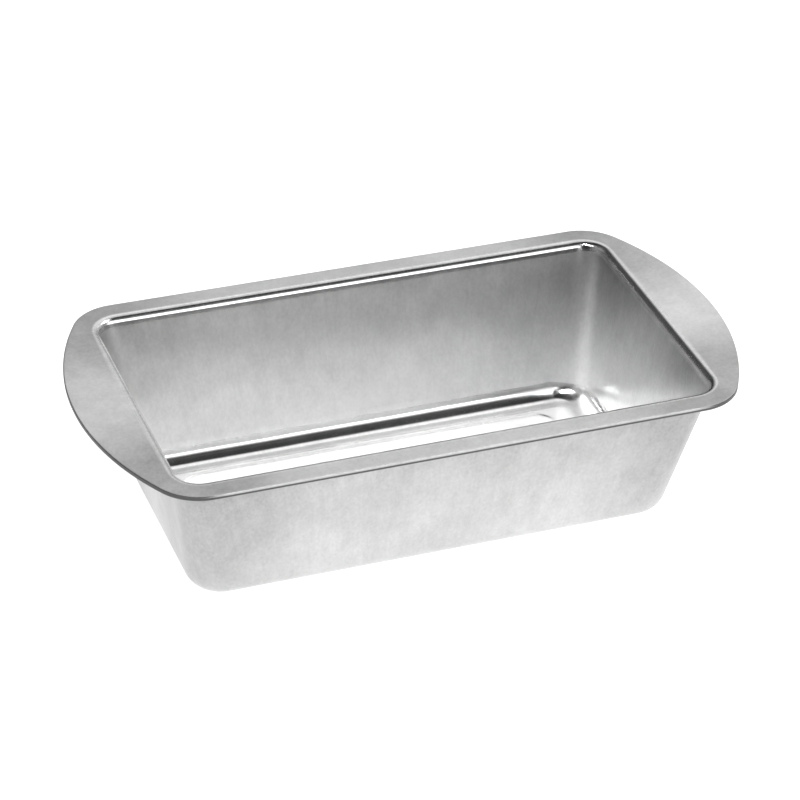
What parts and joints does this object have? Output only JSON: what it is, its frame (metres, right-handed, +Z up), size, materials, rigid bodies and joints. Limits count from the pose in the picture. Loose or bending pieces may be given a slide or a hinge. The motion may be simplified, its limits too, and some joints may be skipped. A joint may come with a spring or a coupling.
{
  "type": "loaf pan",
  "caption": "Seamless sheet-metal loaf pan with tapered walls, rounded corners, a hemmed flat brim and a crescent grip lug at each end.",
  "frame": {"origin": "centre of the floor panel's underside, on the plane the pan stands on", "axes": "+X along the loaf, through both grip lugs; +Y across the pan; +Z up, out of the mouth"},
  "size_m": [0.2822, 0.1508, 0.0704],
  "materials": {
    "drawn_metal": "satin, as drawn, uncoated"
  },
  "bodies": {
    "root": {"pan_body": "drawn_metal"}
  },
  "joints": []
}
